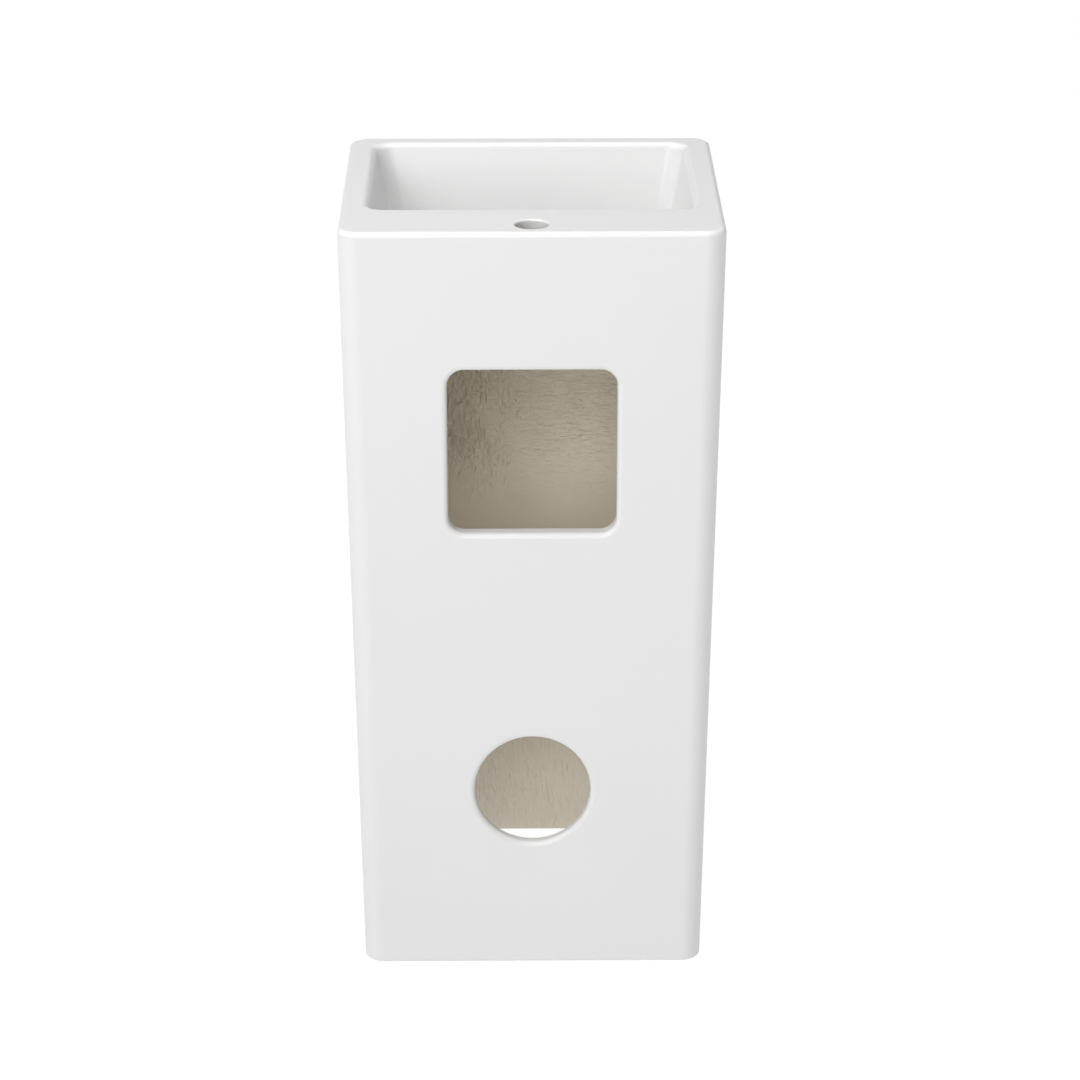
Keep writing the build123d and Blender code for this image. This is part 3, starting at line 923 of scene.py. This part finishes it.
def make_backnut(brass):
    """Flanged nut with eight chamfered flats."""
    low, high, radius = levels("backnut")
    half_side = math.pi / NUT_SIDES
    corner = NUT_FLATS / 2 / math.cos(half_side)
    top = high - NUT_FLANGE / 2
    settle()
    bpy.ops.mesh.primitive_cylinder_add(
        vertices=NUT_SIDES, radius=corner, depth=top - low,
        location=(0, DRAIN_Y, (low + top) / 2), rotation=(0, 0, half_side),
    )
    piece = bpy.context.active_object
    piece.name = "backnut_hot_pressed"
    bpy.ops.object.transform_apply(location=True, rotation=True, scale=True)
    piece.data.materials.append(brass)
    round_edges(piece, upright, *NUT_CORNER)
    wide = corner + NUT_CHAMFER
    cone = turned("nut_chamfer", [
        (NUT_FLATS / 2 - NUT_BREAK, low - NUT_FACE), (wide, low + NUT_CHAMFER), (wide, high),
    ], brass, ring=False, soften=0)
    combine(piece, cone, "INTERSECT", "MANIFOLD")
    flange = turned("nut_flange", [
        (radius - NUT_BREAK, high - NUT_FLANGE), (radius, high - NUT_FLANGE + NUT_BREAK), (radius, high),
    ], brass, ring=False)
    combine(piece, flange, "UNION", "MANIFOLD")
    ends = [(NUT_BORE, low - PAST), (NUT_BORE, high + PAST)]
    bore = turned("nut_bore", ends, brass, ring=False, soften=0)
    combine(piece, bore, "DIFFERENCE", "MANIFOLD")
    round_edges(piece, lambda e: round_the_drain(e, NUT_BORE) and e.calc_face_angle(0) > FOLD, *NUT_MOUTH)
    clean(piece)
    smooth(piece)
    return stand_for(piece, "root", "brass", "backnut")


def slotted(piece, width, depth, reach, top, turns, material):
    """Cuts slots across the top of a round piece, one for each turn in degrees."""
    for turn in turns:
        corners = (-width, DRAIN_Y - reach, top - depth), (width, DRAIN_Y + reach, top + PAST)
        slot = block("slot", *corners, material)
        combine(piece, spun_about(slot, turn), "DIFFERENCE", "MANIFOLD")
    clean(piece)


def make_sleeve(plate):
    """Cup with a groove round it, on a threaded stud."""
    stud, top, radius = levels("cartridge_sleeve")
    seat = BRIDGE[1]
    neck = radius - CUP_GROOVE_DEPTH
    groove = [(r, seat + up) for r, up in zip((radius, neck, neck, radius), CUP_GROOVE)]
    sleeve = turned("cartridge_cup", [
        (STUD_TIP, stud), (STUD_THREAD, stud + TIP_CHAMFER), (STUD_THREAD, seat), (radius, seat),
        *groove, (radius, top), (SLEEVE_BORE, top), (SLEEVE_BORE, seat + SLEEVE_FLOOR),
    ], plate, ring=False, soften=0.00015)
    smooth(sleeve)
    stand_for(sleeve, "root", "chrome", "cartridge_sleeve")


def make_collar(plate):
    """Ring that guides the rod, with two slots for a driver."""
    low, high, radius = levels("cartridge_collar")
    collar = turned("cartridge_ring", section(ROD_HOLE, radius, low, high), plate, soften=0.0004)
    slotted(collar, COLLAR_SLOT, COLLAR_SLOT_DEPTH, radius, high, (0, 90), plate)
    smooth(collar)
    stand_for(collar, "root", "chrome", "cartridge_collar")


def make_plunger(steel):
    """Rod with a grooved piston at its foot."""
    low, high, radius = levels("plunger")
    neck = radius - PISTON_GROOVE_DEPTH
    groove = [(r, low + up) for r, up in zip((radius, neck, neck, radius), PISTON_GROOVE)]
    rod = turned("plunger_rod_and_piston", [
        (radius, low), *groove, (radius, low + PISTON_HEIGHT), (ROD_RADIUS, low + PISTON_HEIGHT),
        (ROD_RADIUS, high - TIP_CHAMFER), (ROD_RADIUS - TIP_CHAMFER, high),
    ], steel, ring=False, soften=0.00012)
    smooth(rod)
    stand_for(rod, "plug", "steel", "plunger")


def make_rotor(nylon):
    """Latch ring with teeth on top."""
    low, high, radius = levels("latch_rotor")
    blank = section(radius / 2, radius, low, high)
    rotor = turned("latch_toothed_ring", blank, nylon, soften=0.0002, vertices=ROTOR_SIDES)
    turns = [90 + 360 * tooth / ROTOR_TEETH for tooth in range(ROTOR_TEETH // 2)]
    slotted(rotor, ROTOR_SLOT, ROTOR_SLOT_DEPTH, 2 * radius, high, turns, nylon)
    smooth(rotor)
    stand_for(rotor, "latch", "nylon", "latch_rotor")


def make_spring(steel):
    """Coil under the rotor, which on the real waste is pressed shorter as the plug goes down."""
    low, high, _ = levels("click_spring")
    settle()
    bpy.ops.mesh.primitive_circle_add(
        vertices=WIRE_SIDES, radius=SPRING_WIRE,
        location=(0, DRAIN_Y, low + SPRING_WIRE), rotation=(math.pi / 2, 0, 0),
    )
    spring = bpy.context.active_object
    spring.name = "spring_wire"
    bpy.ops.object.transform_apply(location=False, rotation=True, scale=True)
    spring.data.materials.append(steel)
    with editing(spring):
        bpy.ops.mesh.select_all(action="SELECT")
        bpy.ops.transform.translate(value=(SPRING_RADIUS, 0, 0))
    screwed(spring, (high - low - 2 * SPRING_WIRE) / SPRING_TURNS, SPRING_TURNS, SPRING_STEPS)
    smooth(spring, degrees=60)
    stand_for(spring, "root", "steel", "click_spring")
    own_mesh(spring)


def make_plug(plate, rubber):
    """Domed cap with its boss, and the tapered seal under it."""
    boss, crown, radius = levels("plug_cap")
    seal_low, under, seal_radius = levels("plug_seal")
    rim = under + CAP_RIM
    dome = crown - rim
    sphere = (radius**2 + dome**2) / (2 * dome)
    rings = [radius * math.cos(math.radians(angle)) for angle in DOME_DEGREES]
    arch = [(ring, crown - sphere + math.sqrt(sphere**2 - ring**2)) for ring in rings]
    rod_top = levels("plunger")[1]
    cap = turned("plug_cap_disc", [
        (ROD_HOLE, rod_top), (ROD_HOLE, boss), (CAP_BOSS, boss), (CAP_BOSS, under), (radius, under), *arch,
    ], plate, ring=False, vertices=CAP_SIDES, soften=0.0005)
    smooth(cap)
    stand_for(cap, "plug", "chrome", "plug_cap")
    waist = (seal_radius + SEAL_FOOT) / 2
    mid = (seal_low + under) / 2
    notch = [(waist + out, mid + up) for out, up in SEAL_NOTCH]
    seal = turned("plug_seal_ring", [
        (SEAL_BORE, seal_low), (SEAL_FOOT, seal_low), *notch, (seal_radius, under), (SEAL_BORE, under),
    ], rubber, soften=0.0002)
    smooth(seal)
    stand_for(seal, "plug", "rubber", "plug_seal")


# ---------------------------------------------------------------- operators

class SINK_OT_castings(bpy.types.Operator):
    """Model the basin and the column, glazed outside and bare inside"""

    bl_idname = "sink.castings"
    bl_label = "Ceramic castings"

    def execute(self, context):
        sizes, finishes = context.scene.sink_sizes, context.scene.sink_finishes
        glaze = glaze_material(finishes.glaze)
        bisque = bisque_material(finishes.bisque)
        make_column(sizes, glaze, bisque)
        make_basin(sizes, glaze, bisque)
        return {"FINISHED"}


class SINK_OT_waste(bpy.types.Operator):
    """Model the waste's threaded body, its washers and its back nut"""

    bl_idname = "sink.waste"
    bl_label = "Waste body"

    def execute(self, context):
        finishes = context.scene.sink_finishes
        make_waste_body(metal_material("bright_plate", finishes.plate, 0.09, 900))
        make_washers(
            soft_material("black_rubber", finishes.rubber, 0.68, 1500.0),
            soft_material("pale_nylon", finishes.nylon, 0.45, 2200.0),
        )
        make_backnut(metal_material("turned_brass", finishes.brass, 0.26, 1400))
        return {"FINISHED"}


class SINK_OT_cartridge(bpy.types.Operator):
    """Model the click cartridge inside the waste"""

    bl_idname = "sink.cartridge"
    bl_label = "Click cartridge"

    def execute(self, context):
        finishes = context.scene.sink_finishes
        plate = metal_material("cartridge_plate", finishes.plate, 0.12, 1200)
        steel = metal_material("drawn_steel", finishes.steel, 0.3, 2600)
        make_sleeve(plate)
        make_collar(plate)
        make_plunger(steel)
        make_rotor(soft_material("rotor_nylon", finishes.nylon, 0.45, 2200.0))
        make_spring(steel)
        return {"FINISHED"}


class SINK_OT_plug(bpy.types.Operator):
    """Model the domed plug cap and its seal"""

    bl_idname = "sink.plug"
    bl_label = "Plug"

    def execute(self, context):
        finishes = context.scene.sink_finishes
        make_plug(
            metal_material("cap_plate", finishes.plate, 0.07, 500),
            soft_material("seal_rubber", finishes.rubber, 0.6, 1500.0),
        )
        return {"FINISHED"}


def studio_world():
    """A white room, brightest overhead."""
    world = bpy.data.worlds.new("studio")
    world.use_nodes = True
    nodes, links = world.node_tree.nodes, world.node_tree.links
    split = nodes.new("ShaderNodeSeparateXYZ")
    links.new(nodes.new("ShaderNodeTexCoord").outputs["Generated"], split.inputs["Vector"])
    x, y, z = (times(nodes, links, split.outputs[axis], pull) for axis, pull in ROOM_PULL.items())
    level = nodes.new("ShaderNodeMath")
    level.operation = "ADD"
    links.new(plus(nodes, links, plus(nodes, links, x, y), z), level.inputs[0])
    level.inputs[1].default_value = ROOM_LEVEL
    least = nodes.new("ShaderNodeMath")
    least.operation = "MAXIMUM"
    links.new(level.outputs["Value"], least.inputs[0])
    least.inputs[1].default_value = ROOM_LEAST
    nodes["Background"].inputs["Color"].default_value = (1, 1, 1, 1)
    links.new(least.outputs["Value"], nodes["Background"].inputs["Strength"])
    return world


def hang_soft_box(name, offset, side, power):
    """A square soft light that faces the middle of the sink."""
    settle()
    target = Vector((0, 0, HEIGHT / 2))
    place = target + Vector(offset)
    turn = (target - place).to_track_quat("-Z", "Y").to_euler()
    bpy.ops.object.light_add(type="AREA", location=place, rotation=turn)
    lamp = bpy.context.active_object
    lamp.name = name
    lamp.data.shape = "SQUARE"
    lamp.data.size = side
    lamp.data.energy = power


def lay_floor():
    """A wide pale floor that glows a little, so that no shadow gathers at the foot."""
    settle()
    bpy.ops.mesh.primitive_plane_add(size=FLOOR_SIZE, location=(0, 0, 0))
    floor = bpy.context.active_object
    floor.name = "floor"
    material, nodes, _ = new_material("pale_floor")
    surface = shader(nodes, 0.9, FLOOR_TONE)
    surface.inputs["Specular IOR Level"].default_value = 0.1
    surface.inputs["Emission Color"].default_value = (1, 1, 1, 1)
    surface.inputs["Emission Strength"].default_value = FLOOR_GLOW
    floor.data.materials.append(material)


def set_camera(scene):
    """A long lens behind the sink, looking down on it."""
    camera = bpy.data.objects.new("camera", bpy.data.cameras.new("camera"))
    level = math.cos(CAMERA_PITCH)
    ahead = Vector((-math.sin(CAMERA_YAW) * level, -math.cos(CAMERA_YAW) * level, -math.sin(CAMERA_PITCH)))
    across = Vector((-math.cos(CAMERA_YAW), math.sin(CAMERA_YAW), 0))
    turn = Matrix((across, across.cross(ahead), -ahead)).transposed()
    camera.matrix_world = Matrix.Translation(CAMERA_PLACE) @ turn.to_4x4()
    camera.data.lens = CAMERA_LENS
    camera.data.sensor_width = CAMERA_SENSOR
    camera.data.clip_end = CAMERA_REACH
    scene.collection.objects.link(camera)
    scene.camera = camera


class SINK_OT_stage(bpy.types.Operator):
    """Lay the pale floor, hang the soft lights and set the camera"""

    bl_idname = "sink.stage"
    bl_label = "Stage"

    def execute(self, context):
        lay_floor()
        context.scene.world = studio_world()
        for box in SOFT_BOXES:
            hang_soft_box(*box)
        set_camera(context.scene)
        context.scene.view_settings.view_transform = "Standard"
        return {"FINISHED"}


class SINK_PT_panel(bpy.types.Panel):
    """The sink's pieces, in the order they are made"""

    bl_idname = "SINK_PT_panel"
    bl_label = "Pedestal sink"
    bl_space_type = "VIEW_3D"
    bl_region_type = "UI"
    bl_category = "Sink"

    def draw(self, context):
        for step in STEPS:
            self.layout.operator(step.bl_idname)


STEPS = (SINK_OT_castings, SINK_OT_waste, SINK_OT_cartridge, SINK_OT_plug, SINK_OT_stage)
CLASSES = (SinkSizes, SinkFinishes, *STEPS, SINK_PT_panel)


def register():
    for cls in CLASSES:
        bpy.utils.register_class(cls)
    bpy.types.Scene.sink_sizes = PointerProperty(type=SinkSizes)
    bpy.types.Scene.sink_finishes = PointerProperty(type=SinkFinishes)


def unregister():
    del bpy.types.Scene.sink_finishes
    del bpy.types.Scene.sink_sizes
    for cls in reversed(CLASSES):
        bpy.utils.unregister_class(cls)


def main():
    register()
    bpy.ops.sink.castings()
    bpy.ops.sink.waste()
    bpy.ops.sink.cartridge()
    bpy.ops.sink.plug()
    bpy.ops.sink.stage()


if __name__ == "__main__":
    main()
